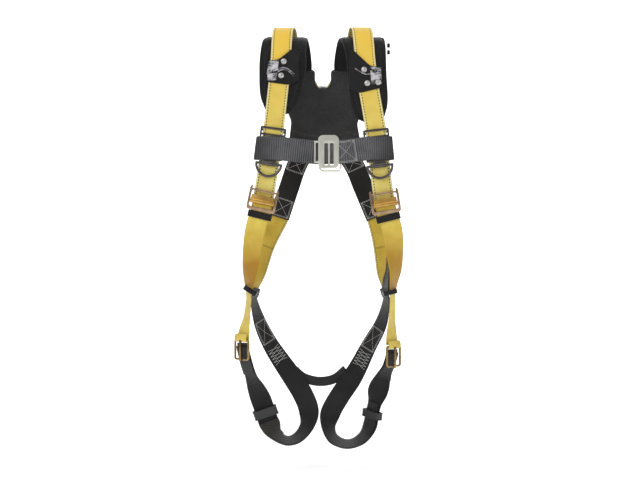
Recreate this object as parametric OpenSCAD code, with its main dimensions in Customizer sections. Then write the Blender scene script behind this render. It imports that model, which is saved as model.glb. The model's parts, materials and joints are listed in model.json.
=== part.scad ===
// Full-body fall-arrest harness, hanging as if worn.
// +X is the wearer's left, -Y is the wearer's front, +Z is up.
// The origin is the middle of the dorsal D-ring's eye.

/* [Webbing] */
// Width of the load-bearing webbing
webbing_width = 45; // [42:1:46]
// Thickness of the webbing
webbing_thickness = 2.4; // [1.6:0.2:2.4]
// Height of the chest strap
chest_strap_height = 52; // [46:1:52]
// Width of the strap that joins the two leg loops
sub_pelvic_width = 21; // [18:1:24]

/* [Padding] */
// Thickness of the back pad
back_pad_thickness = 12; // [8:1:13]
// Thickness of the closing flaps on the shoulder pads
flap_thickness = 2; // [1.5:0.5:2]
// Diameter of a press stud's cap
stud_diameter = 12; // [9:1:13]

/* [Rings] */
// Stock diameter of the dorsal D-ring
dorsal_stock = 10; // [9:0.5:10]
// Clear width of the dorsal D-ring's eye
dorsal_eye = 50; // [48:1:54]
// Stock diameter of the chest D-rings
chest_ring_stock = 5.6; // [5:0.2:5.6]
// Clear width of a chest D-ring
chest_ring_eye = 49; // [44:1:50]

/* [Buckles] */
// Outer width of a torso buckle
torso_buckle_width = 64; // [62:1:66]
// Outer height of a torso buckle
torso_buckle_height = 54; // [52:1:56]
// Outer width of a leg buckle
leg_buckle_width = 56; // [55:1:58]
// Outer height of a leg buckle
leg_buckle_height = 48; // [46:1:50]
// Height of a chest slide
chest_slide_height = 72; // [70:1:74]

/* [Hidden] */
$fn = 48;

// Layers, measured from the plane in which the front straps hang
front_plane = -121;
half_web = webbing_thickness / 2;
gap = 0.5;
layer_step = webbing_thickness + gap;
strap_steps = 6;
slide_sheet = 2.5;
slide_face = -half_web - gap - slide_sheet;
cross_layer = -14.4;

// Each route point is x, y, z and the way the webbing's width points there
right_shoulder_route = [
    [-4, -14.4, -28, 1, 0, 0], [-20, -14.4, 2, 1, 0, 0], [-46, -14.4, 51, 1, 0, 0],
    [-68, -14.6, 94, 1, 0, 0], [-77, -22, 128, 1, 0, 0], [-82, -44, 152, 1, 0, 0],
    [-86, -70, 156, 1, 0, 0], [-89, -98, 144, 1, 0, 0], [-91, -115, 114, 1, 0, 0],
    [-92.5, -121, 80, 1, 0, 0], [-97, -121, 31, 1, 0, 0], [-107.5, -121, -63, 1, 0, 0],
    [-112.8, -121, -103, 1, 0, 0], [-118.1, -121, -143, 1, 0, 0], [-123, -121, -176, 1, 0, 0],
    [-127.5, -121, -205, 1, 0, 0], [-131, -121, -222, 1, 0, 0]];
left_shoulder_route = [
    [4, -17.2, -28, 1, 0, 0], [20, -17.2, 2, 1, 0, 0], [46, -17.2, 51, 1, 0, 0],
    [67, -16.4, 94, 1, 0, 0], [75, -22, 129, 1, 0, 0], [80, -44, 153, 1, 0, 0],
    [84, -70, 157, 1, 0, 0], [87, -98, 145, 1, 0, 0], [90, -115, 114, 1, 0, 0],
    [92.5, -121, 80, 1, 0, 0], [101, -121, 15, 1, 0, 0], [115, -121, -67, 1, 0, 0],
    [119.5, -121, -107, 1, 0, 0], [124, -121, -147, 1, 0, 0], [127.5, -121, -178, 1, 0, 0],
    [131, -121, -205, 1, 0, 0], [134, -121, -226, 1, 0, 0]];
left_back_route = [
    [-2, -14.4, -31.5, 1, 0, 0], [18, -14.4, -66, 1, 0, 0], [45, -14.4, -108, 1, 0, 0],
    [72, -15, -150, 1, 0, 0], [90, -20, -194, 1, 0, 0], [119, -31, -264, 1, 0, 0]];
right_back_route = [
    [2, -17.2, -31.5, 1, 0, 0], [-16, -17.2, -66, 1, 0, 0], [-38, -17.2, -108, 1, 0, 0],
    [-60, -17, -150, 1, 0, 0], [-75, -20, -194, 1, 0, 0], [-98, -30, -264, 1, 0, 0]];
right_hip_route = [
    [-86, -20, -222, 1, 0, 0], [-99, -26, -264, 1, 0, 0], [-116, -34, -297, 1, 0.1, 0],
    [-131, -44, -330, 1, 0.2, 0], [-146, -57, -380, 0.9, 0.4, 0],
    [-153, -63.5, -416, 0.45, 0.9, 0], [-155, -65, -436, 0.3, 0.95, 0]];
left_hip_route = [
    [103, -21.5, -222, 1, 0, 0], [120, -27, -264, 1, 0, 0], [129, -34, -297, 1, -0.1, 0],
    [135, -44, -330, 1, -0.2, 0], [140, -57, -380, 0.9, -0.4, 0],
    [142, -65, -416, 0.45, -0.9, 0], [142, -67, -436, 0.3, -0.95, 0]];
right_torso_route = [
    [-132, -121, -228, 1, 0, 0], [-137, -121, -254, 1, 0, 0], [-147, -118, -286, 1, 0, 0],
    [-155, -112, -330, 0.9, -0.35, 0], [-161, -103, -376, 0.75, -0.65, 0],
    [-163, -95.5, -410, 0.5, -0.85, 0], [-164, -92, -436, 0.3, -0.95, 0]];
left_torso_route = [
    [135, -121, -232, 1, 0, 0], [141, -121, -258, 1, 0, 0], [151, -118, -290, 1, 0, 0],
    [157, -112, -336, 0.85, 0.45, 0], [160, -103, -380, 0.6, 0.78, 0],
    [156, -95, -412, 0.4, 0.9, 0], [154, -91, -436, 0.3, 0.95, 0]];
right_riser_route = [
    [-164, -92, -450, 0.3, -0.95, 0], [-168, -94, -484, 0.35, -0.94, 0],
    [-173, -97, -508, 0.5, -0.87, 0], [-175.5, -100.5, -525, 0.6, -0.8, 0]];
left_riser_route = [
    [154, -91, -450, 0.3, 0.95, 0], [153, -94, -490, 0.35, 0.94, 0],
    [152, -98, -518, 0.5, 0.87, 0], [152, -100.5, -540, 0.6, 0.8, 0]];
right_leg_route = [
    [-154, -66, -450, 0.3, 0.95, 0.1], [-141, -59, -496, 0.5, 0.8, 0.3],
    [-119, -53, -543, 0.65, 0.68, 0.38], [-95, -49, -582, 0.78, 0.5, 0.45],
    [-69, -48, -620, 0.85, 0.25, 0.5], [-46, -51, -657, 0.9, 0, 0.45],
    [-32, -57, -692, 0.97, -0.15, 0.2], [-34, -64, -724, 0.66, -0.7, -0.25],
    [-53, -70, -751, 0.26, -0.85, -0.42], [-77, -74, -760, 0, -0.93, -0.37],
    [-101, -79, -748, -0.25, -0.85, -0.42], [-118, -84, -722, -0.85, -0.25, -0.42],
    [-127, -88, -696, -0.94, 0, -0.33], [-136, -92, -670, -0.94, 0, -0.33],
    [-147, -95, -643, -0.85, 0.45, -0.3], [-158, -98, -616, -0.6, 0.78, -0.15],
    [-168, -100, -584, -0.6, 0.8, 0], [-175, -100, -556, -0.6, 0.8, 0],
    [-176, -100, -548, -0.6, 0.8, 0]];
left_leg_route = [
    [141, -66, -450, 0.3, -0.95, -0.1], [129, -59, -500, 0.5, -0.8, -0.3],
    [102, -53, -552, 0.65, -0.68, -0.38], [82, -49, -593, 0.78, -0.5, -0.45],
    [63, -48, -626, 0.85, -0.25, -0.5], [38, -51, -662, 0.9, 0, -0.45],
    [18, -57, -697, 0.93, 0.15, -0.2], [12, -64, -726, 0.66, 0.7, 0.25],
    [20, -69, -752, 0.3, 0.85, 0.42], [40, -73, -765, 0.1, 0.9, 0.37],
    [63, -77, -766, 0, 0.93, 0.37], [88, -81, -752, -0.25, 0.85, 0.42],
    [103, -85, -727, -0.6, 0.75, 0.25], [109, -88, -700, -0.62, 0.75, 0.2],
    [115, -91, -673, -0.62, 0.75, 0.2], [123, -94, -643, -0.9, 0, 0.25],
    [134, -97, -612, -0.7, -0.7, 0.15], [144, -100, -592, -0.6, -0.8, 0],
    [151, -100, -570, -0.6, -0.8, 0], [152, -100, -562, -0.6, -0.8, 0]];
right_chest_route = [
    [6, -127.2, -123, 0, 0, 1], [-22, -127.2, -122, 0, 0, 1], [-60, -127.2, -118, 0, 0, 1],
    [-100, -127.2, -114, 0.05, 0, 1], [-138, -127.2, -113, 0.13, 0, 1],
    [-145, -126.2, -113, 0.13, 0, 1], [-148.6, -121, -113, 0.13, 0, 1],
    [-145, -115.8, -113, 0.13, 0, 1], [-138, -114.6, -113, 0.13, 0, 1],
    [-104, -114.6, -113, 0.13, 0, 1]];
left_chest_route = [
    [1, -135.4, -123, 0, 0, 1], [44, -135.4, -122, 0, 0, 1], [58, -131, -120, 0, 0, 1],
    [70, -127.6, -118, 0, 0, 1], [100, -127.2, -114, -0.04, 0, 1],
    [143, -127.2, -113, -0.11, 0, 1], [150, -126.2, -113, -0.11, 0, 1],
    [153.6, -121, -113, -0.11, 0, 1], [150, -115.8, -113, -0.11, 0, 1],
    [143, -114.6, -113, -0.11, 0, 1], [110, -114.6, -113, -0.11, 0, 1]];
sub_pelvic_route = [
    [-62, -35, -606, -0.4, 0, 1], [-42, -39.4, -623, -0.3, 0, 1], [-8, -42, -631, 0, 0, 1],
    [26, -40, -625, 0.3, 0, 1], [52, -38, -604, 0.6, 0, 1]];

// Pad points also carry the pad's width and thickness
right_pad_route = [
    [-71, -25, 62, 1, 0, 0, 92, 11], [-71, -25, 72, 1, 0, 0, 95, 12],
    [-73, -25, 88, 1, 0, 0, 97, 12],
    [-77, -31, 113, 1, 0, 0, 98, 12], [-80, -45, 127, 1, 0, 0, 98, 12],
    [-81, -65, 132, 1, 0, 0, 97, 12], [-83, -88, 128, 1, 0, 0, 98, 12],
    [-86, -104, 113, 1, 0, 0, 101, 12], [-88, -110.5, 88, 1, 0, 0, 104, 12],
    [-89, -112, 61, 1, 0, 0, 105, 12], [-94, -112, 13, 1, 0, 0, 94, 12],
    [-98, -112, -14, 1, 0, 0, 78, 12], [-102, -112, -30, 1, 0, 0, 56, 10],
    [-103, -112, -38, 1, 0, 0, 26, 7]];
left_pad_route = [
    [71, -25, 62, 1, 0, 0, 92, 11], [71, -25, 72, 1, 0, 0, 95, 12],
    [73, -25, 88, 1, 0, 0, 97, 12],
    [78, -31, 113, 1, 0, 0, 99, 12], [82, -45, 127, 1, 0, 0, 100, 12],
    [85, -65, 132, 1, 0, 0, 100, 12], [88, -88, 128, 1, 0, 0, 98, 12],
    [92, -104, 113, 1, 0, 0, 94, 12], [95, -110.5, 88, 1, 0, 0, 90, 12],
    [97, -112, 46, 1, 0, 0, 88, 12], [101, -112, -2, 1, 0, 0, 86, 12],
    [104, -112, -30, 1, 0, 0, 76, 12], [107, -112, -48, 1, 0, 0, 56, 10],
    [106, -112, -59, 1, 0, 0, 26, 7]];

// Outlines seen from the front, as x and z
back_pad_outline = [
    [-70, -134], [70, -134], [84, -116], [85, -92], [78, -54], [96, 0], [114, 60], [19, 60],
    [17, 44], [15, 33], [11, 27], [-11, 27], [-15, 33], [-17, 44], [-19, 60], [-114, 60],
    [-92, 0], [-72, -48], [-77, -92], [-78, -116]];
right_flap_outline = [
    [-53, 38], [-53, 99], [-67, 105], [-96, 81], [-121, 77], [-125, 33], [-75, 26]];
left_flap_outline = [
    [57, 20], [59, 92], [64, 103], [104, 66], [127, 64], [129, 20], [79, 8]];
right_studs = [[-86, 77], [-92, 46]];
left_studs = [[90, 59], [97, 29], [121, 31]];

// Places and leans of the fittings on the front straps
right_slide_place = [-112.8, front_plane, -103];
left_slide_place = [119.5, front_plane, -107];
right_slide_lean = 7.6;
left_slide_lean = -6.4;
right_buckle_place = [-132, front_plane, -225];
left_buckle_place = [136, front_plane, -230];
right_buckle_lean = 12;
left_buckle_lean = -9;
right_leg_buckle_place = [-175.5, -100, -556];
left_leg_buckle_place = [152, -100, -571];
leg_buckle_turn = 53;

// Shared sizes
ring_radius = (dorsal_eye + dorsal_stock) / 2;
ring_bar_drop = 29;
sleeve_wall = 2.5;
chest_ring_drop = chest_slide_height / 2 + 9;
chest_ring_forward = -6.2;
flap_face = front_plane - half_web - gap - flap_thickness;
bar_wire = 2.5;
bar_rest = -7;
bar_forward = -6.9;
leg_frame_forward = -half_web - gap - bar_wire;

function unit(v) = v / norm(v);
function spot(p) = [p[0], p[1], p[2]];
function width_way(p) = [p[3], p[4], p[5]];
function near(route, i) = route[max(0, min(len(route) - 1, i))];
function blend(a, b, c, d, f) = 0.5 * (2 * b + (c - a) * f
    + (2 * a - 5 * b + 4 * c - d) * f * f + (3 * b - a - 3 * c + d) * f * f * f);
function fine(route, steps) = [
    for (i = [0 : len(route) - 2]) for (s = [0 : steps - 1])
        blend(near(route, i - 1), route[i], route[i + 1], near(route, i + 2), s / steps),
    route[len(route) - 1]];
function square_across(way, along) = unit(way - (way * along) * along);
function section(p, along, profile, wide, thick, lift) =
    let (across = square_across(width_way(p), along), out = cross(along, across))
    [for (c = profile) spot(p) + across * c[0] * wide / 2 + out * (c[1] * thick / 2 + lift)];
function direction(line, i) = unit(spot(near(line, i + 1)) - spot(near(line, i - 1)));

flat_profile = [[-1, -1], [1, -1], [1, 1], [-1, 1]];
soft_profile = [[-1, -0.2], [-0.86, -1], [0.86, -1], [1, -0.2], [1, 0.2], [0.86, 1],
    [-0.86, 1], [-1, 0.2]];

// A strap or pad swept along a line of points, raised off it by lift
module sweep(line, profile = flat_profile, wide = webbing_width, thick = webbing_thickness,
    lift = 0) {
    sides = len(profile);
    last = len(line) - 1;
    points = [for (i = [0 : last]) each section(line[i], direction(line, i), profile,
        len(line[i]) > 6 ? line[i][6] : wide, len(line[i]) > 6 ? line[i][7] : thick, lift)];
    // the two faces are split along the same diagonals, so a twisted strap keeps its thickness
    walls = [for (i = [0 : last - 1]) for (k = [0 : sides - 1])
        let (a = i * sides + k, b = i * sides + (k + 1) % sides)
        each k < sides / 2 ? [[a, a + sides, b + sides], [a, b + sides, b]]
            : [[a, a + sides, b], [a + sides, b + sides, b]]];
    start_cap = [for (k = [1 : sides - 2]) [0, k, k + 1]];
    end_cap = [for (k = [1 : sides - 2]) [last * sides, last * sides + k + 1,
        last * sides + k]];
    polyhedron(points = points, faces = concat(walls, start_cap, end_cap));
}

// A single layer of webbing along its whole route
module band(route, wide = webbing_width) { sweep(fine(route, strap_steps), wide = wide); }

// A shorter layer that lies on a strap from its first to its last route point
module overlay(route, first, last, lift, wide) {
    line = fine(route, strap_steps);
    sweep([for (i = [first * strap_steps : last * strap_steps]) line[i]], wide = wide,
        lift = lift);
}

// A round bar along x
module rod(length, radius) {
    rotate([0, 90, 0]) cylinder(h = length, r = radius, center = true);
}

// A closed frame of round wire in the x-z plane, with rounded corners
module wire_frame(wide, tall, radius, corner) {
    for (s = [-1, 1]) {
        translate([0, 0, s * tall / 2]) rod(wide - 2 * corner, radius);
        translate([s * wide / 2, 0, 0])
            cylinder(h = tall - 2 * corner, r = radius, center = true);
        for (e = [-1, 1])
            translate([s * (wide / 2 - corner), 0, e * (tall / 2 - corner)])
                rotate([90, s > 0 ? (e > 0 ? 0 : 90) : (e > 0 ? -90 : 180), 0])
                    rotate_extrude(angle = 90) translate([corner, 0]) circle(r = radius);
    }
}

// A flat bar with round corners, seen from the front, running back from y = 0
module rounded_plate(wide, tall, thick, corner) {
    translate([-wide / 2 + corner, 0, -tall / 2])
        cube([wide - 2 * corner, thick, tall]);
    translate([-wide / 2, 0, -tall / 2 + corner])
        cube([wide, thick, tall - 2 * corner]);
    for (s = [-1, 1]) for (e = [-1, 1])
        translate([s * (wide / 2 - corner), 0, e * (tall / 2 - corner)])
            rotate([-90, 0, 0]) cylinder(h = thick, r = corner);
}

// A D of round stock: bar on the x axis, bow hanging below it
module d_loop(radius, stock) {
    rod(2 * radius, stock / 2);
    for (s = [-1, 1]) translate([s * radius, 0, 0]) sphere(r = stock / 2);
    rotate([90, 180, 0]) rotate_extrude(angle = 180) translate([radius, 0])
        circle(r = stock / 2);
}

module on_strap(place, lean) {
    translate(place) rotate([0, lean, 0]) children();
}

module on_leg(place, turn) {
    translate(place) rotate([0, 0, turn]) children();
}

// A flat loop that goes round a strap, middle at the origin
module strap_loop(inside, depth, tall, wall) {
    difference() {
        translate([0, -depth / 2 - wall, 0])
            rounded_plate(inside + 2 * wall, tall, depth + 2 * wall, 1);
        translate([-inside / 2, -depth / 2, -tall]) cube([inside, depth, 2 * tall]);
    }
}

// Sheet-metal plate that the straps cross under, with a rolled sleeve for the D-ring
module dorsal_plate() {
    plate_back = cross_layer + half_web + gap;
    sleeve = dorsal_stock / 2 + 0.3;
    color("dimgray") difference() {
        union() {
            translate([0, plate_back, -21]) rounded_plate(104, 84, 4, 14);
            translate([0, 0, -ring_bar_drop]) rod(38, sleeve + sleeve_wall);
            translate([-19, plate_back + 1, -ring_bar_drop - 6]) cube([38, 9, 12]);
        }
        translate([0, 0, -ring_bar_drop]) rod(40, sleeve);
    }
}

module dorsal_d_ring() {
    legs = ring_bar_drop;
    color("silver") {
        rotate([90, 0, 0]) rotate_extrude(angle = 180) translate([ring_radius, 0])
            circle(r = dorsal_stock / 2);
        for (s = [-1, 1]) {
            translate([s * ring_radius, 0, -legs]) cylinder(h = legs, r = dorsal_stock / 2);
            translate([s * ring_radius, 0, -legs]) sphere(r = dorsal_stock / 2);
        }
        translate([0, 0, -legs]) rod(2 * ring_radius, dorsal_stock / 2);
    }
}

module back_pad() {
    color([0.1, 0.1, 0.11]) translate([0, -25 + back_pad_thickness / 2, 0])
        rotate([90, 0, 0]) linear_extrude(back_pad_thickness) polygon(back_pad_outline);
}

module shoulder_pad(route) {
    color([0.08, 0.08, 0.09]) sweep(fine(route, 3), soft_profile);
}
module right_shoulder_pad() { shoulder_pad(right_pad_route); }
module left_shoulder_pad() { shoulder_pad(left_pad_route); }

// Small elastic lanyard loops on the pad's outer edge
module left_pad_tabs() {
    color([0.05, 0.05, 0.05]) for (z = [113, 98]) translate([144, -112, z])
        difference() {
            cube([6, 8, 9], center = true);
            cube([2.6, 4.6, 12], center = true);
        }
}

module pad_flap(outline) {
    color([0.12, 0.12, 0.13]) translate([0, flap_face + flap_thickness, 0])
        rotate([90, 0, 0]) linear_extrude(flap_thickness) polygon(outline);
}
module right_pad_flap() { pad_flap(right_flap_outline); }
module left_pad_flap() { pad_flap(left_flap_outline); }

module press_studs(places) {
    cap = 1.6;
    color("gainsboro") for (p = places) translate([p[0], flap_face - 0.05, p[1]])
        rotate([90, 0, 0]) {
            cylinder(h = cap, d = stud_diameter);
            cylinder(h = cap + 0.8, d = stud_diameter * 0.7);
        }
}
module right_flap_studs() { press_studs(right_studs); }
module left_flap_studs() { press_studs(left_studs); }

module yellow_strap(route) { color([0.88, 0.68, 0.12]) band(route); }
module black_strap(route) { color([0.11, 0.11, 0.12]) band(route); }
module right_shoulder_strap() { yellow_strap(right_shoulder_route); }
module left_shoulder_strap() { yellow_strap(left_shoulder_route); }
module right_back_strap() { black_strap(right_back_route); }
module left_back_strap() { black_strap(left_back_route); }
module right_hip_strap() { yellow_strap(right_hip_route); }
module left_hip_strap() { yellow_strap(left_hip_route); }
module right_torso_strap() { yellow_strap(right_torso_route); }
module left_torso_strap() { yellow_strap(left_torso_route); }
module right_leg_riser() { yellow_strap(right_riser_route); }
module left_leg_riser() { yellow_strap(left_riser_route); }
module right_leg_strap() { black_strap(right_leg_route); }
module left_leg_strap() { black_strap(left_leg_route); }

// Pressed frame with two cheeks that stand forward and carry the sliding bar's pins
module torso_buckle_frame(place, lean) {
    back = -half_web - gap - 3;
    cheek = 5;
    flange = 11.5;
    half = torso_buckle_height / 2;
    inside = torso_buckle_width - 2 * cheek;
    top_bar = half - 10;
    bar_travel = 5;
    through = 30;
    color([0.78, 0.62, 0.3]) on_strap(place, lean) difference() {
        union() {
            translate([0, back, 0])
                rounded_plate(torso_buckle_width, torso_buckle_height, 3, 6);
            for (s = [-1, 1])
                translate([s * (torso_buckle_width - cheek) / 2 - cheek / 2, -flange, 6 - half])
                    cube([cheek, flange + back + 1, torso_buckle_height - 12]);
            translate([0, back - 0.6, top_bar]) rod(inside + 2, 3.2);
        }
        translate([0, -20, (top_bar - half + 6) / 2])
            rounded_plate(inside, top_bar + half - 9, through, 3);
        translate([-inside / 2, -20, top_bar + 3]) cube([inside, through, half]);
        for (s = [-1, 1])
            translate([s * torso_buckle_width / 2, bar_forward, bar_rest + bar_travel / 2])
                cube([4 * cheek, 5, bar_travel + 7], center = true);
    }
}
module right_torso_buckle_frame() {
    torso_buckle_frame(right_buckle_place, right_buckle_lean);
}
module left_torso_buckle_frame() {
    torso_buckle_frame(left_buckle_place, left_buckle_lean);
}

// Sliding bar: a roller on a pin, with a flat wing above it
module torso_buckle_bar(place, lean) {
    roller = torso_buckle_width - 11.5;
    wing = torso_buckle_width - 13;
    color([0.85, 0.66, 0.25]) on_strap(place, lean) translate([0, bar_forward, bar_rest]) {
        rod(roller, 5);
        rod(torso_buckle_width - 0.5, 2);
        translate([-wing / 2, -1, 0]) cube([wing, 2, 14]);
    }
}
module right_torso_buckle_bar() { torso_buckle_bar(right_buckle_place, right_buckle_lean); }
module left_torso_buckle_bar() { torso_buckle_bar(left_buckle_place, left_buckle_lean); }

// Elastic loop round the two layers of webbing below a torso buckle
module torso_keeper(x, z, lean) {
    color([0.07, 0.07, 0.07]) on_strap([x, front_plane + 0.4, z], lean)
        strap_loop(50, 6.4, 15, 1.6);
}
module right_torso_keeper() { torso_keeper(-138.8, -260.5, 14); }
module left_torso_keeper() { torso_keeper(143.2, -266, -14); }

// Short black band that gathers the front and rear straps at the hip
module hip_loop(place, depth) {
    color([0.07, 0.07, 0.08]) translate(place) rotate([0, 0, 90])
        strap_loop(74, depth, 14, 1.6);
}
module right_hip_loop() { hip_loop([-159.2, -79, -428], 34); }
module left_hip_loop() { hip_loop([148, -79, -428], 35); }

// Slide that rides on the front strap and carries the chest strap and a D-ring
module chest_slide(place, lean) {
    half = chest_slide_height / 2;
    wide = 57;
    inside = 51;
    sleeve = chest_ring_stock / 2 + 0.3;
    color([0.35, 0.35, 0.36]) on_strap(place, lean) difference() {
        union() {
            difference() {
                translate([0, slide_face, 0])
                    rounded_plate(wide, chest_slide_height, slide_sheet, 3);
                for (z = [half - 10, -half + 10])
                    translate([0, slide_face - 5, z]) rounded_plate(inside - 2, 10, 20, 1.5);
                translate([0, slide_face - 5, 0]) rounded_plate(inside - 2, 34, 20, 2);
            }
            for (z = [half - 8, -half + 8]) translate([0, -slide_face - slide_sheet, z])
                rounded_plate(wide, 5, slide_sheet, 1);
            for (z = [half - 8, -half + 8]) for (s = [-1, 1])
                translate([s * (wide + inside) / 4, 0, z])
                    cube([(wide - inside) / 2, -2 * slide_face, 5], center = true);
            translate([0, chest_ring_forward, -chest_ring_drop])
                rod(30, sleeve + 1.5);
            translate([-15, slide_face - 0.5, -chest_ring_drop])
                cube([30, slide_sheet, 11]);
        }
        translate([0, chest_ring_forward, -chest_ring_drop]) rod(32, sleeve);
        translate([-30, -half_web - gap, -chest_ring_drop - 10]) cube([60, 10, 13]);
    }
}
module right_chest_slide() { chest_slide(right_slide_place, right_slide_lean); }
module left_chest_slide() { chest_slide(left_slide_place, left_slide_lean); }

module chest_d_ring(place, lean) {
    color([0.4, 0.4, 0.41]) on_strap(place, lean)
        translate([0, chest_ring_forward, -chest_ring_drop])
            d_loop((chest_ring_eye + chest_ring_stock) / 2, chest_ring_stock);
}
module right_chest_d_ring() { chest_d_ring(right_slide_place, right_slide_lean); }
module left_chest_d_ring() { chest_d_ring(left_slide_place, left_slide_lean); }

module chest_strap(route) {
    color([0.2, 0.2, 0.22]) band(route, chest_strap_height);
}
module right_chest_strap() { chest_strap(right_chest_route); }
module left_chest_strap() { chest_strap(left_chest_route); }

// Larger half of the chest buckle, lying behind the smaller plate, with a bar for its webbing
module chest_buckle_ring() {
    wire = bar_wire - 0.4;
    wide = 46;
    tall = 66;
    bar_reach = 33.5;
    bar_half = 24;
    color([0.75, 0.75, 0.72]) translate([16, -131.2, -131]) {
        wire_frame(wide, tall, wire, 8);
        translate([-bar_reach, 0, 9]) cylinder(h = 2 * bar_half, r = wire, center = true);
        for (s = [-1, 1]) {
            translate([-(bar_reach + wide / 2) / 2, 0, 9 + s * (bar_half - wire)])
                rod(bar_reach - wide / 2, wire);
            translate([-bar_reach, 0, 9 + s * (bar_half - wire)]) sphere(r = wire);
        }
    }
}

module chest_buckle_plate() {
    slot = 8.2;
    color([0.85, 0.86, 0.82]) translate([12, -140.4, -122]) difference() {
        rounded_plate(45, 73, 3.2, 11);
        for (s = [-1, 1]) translate([s * (slot / 2 + 2) + 1, -5, -5])
            rounded_plate(slot, 48, 15, 2);
    }
}

// Wire frame of a leg buckle
module leg_buckle_frame(place, turn) {
    color([0.72, 0.58, 0.3]) on_leg(place, turn) translate([0, leg_frame_forward, 0])
        wire_frame(leg_buckle_width - 2 * bar_wire, leg_buckle_height - 2 * bar_wire,
            bar_wire, 5);
}
module right_leg_buckle_frame() {
    leg_buckle_frame(right_leg_buckle_place, -leg_buckle_turn);
}
module left_leg_buckle_frame() { leg_buckle_frame(left_leg_buckle_place, leg_buckle_turn); }

module leg_buckle_tongue(place, turn) {
    pivot = leg_buckle_height / 2 - bar_wire;
    bore = bar_wire + 0.4;
    color([0.8, 0.7, 0.45]) on_leg(place, turn) translate([0, leg_frame_forward, pivot])
        difference() {
            union() {
                rod(11, bore + 1.7);
                translate([-3.5, -bar_wire - 2.8, -leg_buckle_height + 1])
                    cube([7, 2.4, leg_buckle_height - 1]);
            }
            rod(13, bore);
        }
}
module right_leg_buckle_tongue() {
    leg_buckle_tongue(right_leg_buckle_place, -leg_buckle_turn);
}
module left_leg_buckle_tongue() { leg_buckle_tongue(left_leg_buckle_place, leg_buckle_turn); }

// Moulded keepers that hold the loose ends of the leg straps
module right_leg_keeper() {
    color([0.06, 0.06, 0.06]) translate([-127, -88, -696]) rotate([0, -19, 0])
        rotate([9, 0, 0]) strap_loop(49, 11, 20, 2);
}
module left_leg_keeper() {
    color([0.06, 0.06, 0.06]) translate([109, -88, -700]) rotate([0, 0, -50])
        rotate([0, 9, 0]) strap_loop(49, 13, 16, 2);
}
module right_leg_elastic() {
    color([0.15, 0.14, 0.12]) overlay(right_leg_route, 9.5, 11.25, layer_step, webbing_width);
}
module left_leg_tail() {
    color([0.1, 0.1, 0.1]) overlay(left_leg_route, 11.5, 14, layer_step, 38);
}

module sub_pelvic_strap() {
    color([0.11, 0.11, 0.12]) band(sub_pelvic_route, sub_pelvic_width);
}

dorsal_plate();
dorsal_d_ring();
back_pad();
right_shoulder_pad();
left_shoulder_pad();
left_pad_tabs();
right_pad_flap();
left_pad_flap();
right_flap_studs();
left_flap_studs();
right_shoulder_strap();
left_shoulder_strap();
right_back_strap();
left_back_strap();
right_hip_strap();
left_hip_strap();
right_torso_strap();
left_torso_strap();
right_torso_buckle_frame();
left_torso_buckle_frame();
right_torso_buckle_bar();
left_torso_buckle_bar();
right_torso_keeper();
left_torso_keeper();
right_hip_loop();
left_hip_loop();
right_chest_slide();
left_chest_slide();
right_chest_strap();
left_chest_strap();
chest_buckle_ring();
chest_buckle_plate();
right_chest_d_ring();
left_chest_d_ring();
right_leg_riser();
left_leg_riser();
right_leg_strap();
left_leg_strap();
sub_pelvic_strap();
right_leg_buckle_frame();
left_leg_buckle_frame();
right_leg_buckle_tongue();
left_leg_buckle_tongue();
right_leg_keeper();
left_leg_keeper();
right_leg_elastic();
left_leg_tail();
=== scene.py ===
import json
import math

import bmesh
import bpy
import numpy as np
from mathutils import Matrix, Vector
from mathutils.bvhtree import BVHTree


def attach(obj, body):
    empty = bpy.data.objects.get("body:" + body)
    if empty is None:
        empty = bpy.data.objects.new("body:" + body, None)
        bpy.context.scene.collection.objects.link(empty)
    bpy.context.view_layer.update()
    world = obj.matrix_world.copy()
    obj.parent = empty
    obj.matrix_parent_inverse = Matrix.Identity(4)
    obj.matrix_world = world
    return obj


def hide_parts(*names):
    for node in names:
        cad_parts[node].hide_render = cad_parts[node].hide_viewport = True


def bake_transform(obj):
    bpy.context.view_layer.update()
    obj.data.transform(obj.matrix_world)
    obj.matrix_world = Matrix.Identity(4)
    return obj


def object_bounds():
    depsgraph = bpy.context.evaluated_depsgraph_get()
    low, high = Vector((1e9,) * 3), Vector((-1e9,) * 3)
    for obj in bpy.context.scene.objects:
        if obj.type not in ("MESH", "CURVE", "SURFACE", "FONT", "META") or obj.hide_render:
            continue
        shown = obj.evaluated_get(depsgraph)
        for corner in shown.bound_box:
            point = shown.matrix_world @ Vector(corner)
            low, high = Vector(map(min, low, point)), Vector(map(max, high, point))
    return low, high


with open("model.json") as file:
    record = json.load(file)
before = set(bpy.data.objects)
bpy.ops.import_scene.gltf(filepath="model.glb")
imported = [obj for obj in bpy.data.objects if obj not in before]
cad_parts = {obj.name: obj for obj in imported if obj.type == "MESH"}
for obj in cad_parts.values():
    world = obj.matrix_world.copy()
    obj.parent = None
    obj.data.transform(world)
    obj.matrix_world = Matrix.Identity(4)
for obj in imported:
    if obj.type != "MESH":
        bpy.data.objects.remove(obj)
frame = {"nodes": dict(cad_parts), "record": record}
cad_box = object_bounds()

# --- Studio -------------------------------------------------------------------------------
# The harness hangs by its dorsal ring just clear of a pale seamless floor, which curves up
# into the backdrop. Large soft panels light it from both front quarters and from above.
mm = 0.001
eye_height = -0.3146
viewing_distance = 4.1
view_width = 1.408
camera_aside = -0.0066
front_strap_depth = 0.11
floor_drop = 0.05
floor_height = cad_box[0][2] - floor_drop


def plain_mesh(name, points, faces):
    """A mesh object from points and faces, in the scene and shaded smooth."""
    mesh = bpy.data.meshes.new(name)
    mesh.from_pydata([tuple(p) for p in points], [], [tuple(f) for f in faces])
    mesh.validate()
    mesh.shade_smooth()
    piece = bpy.data.objects.new(name, mesh)
    bpy.context.scene.collection.objects.link(piece)
    return piece


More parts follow.
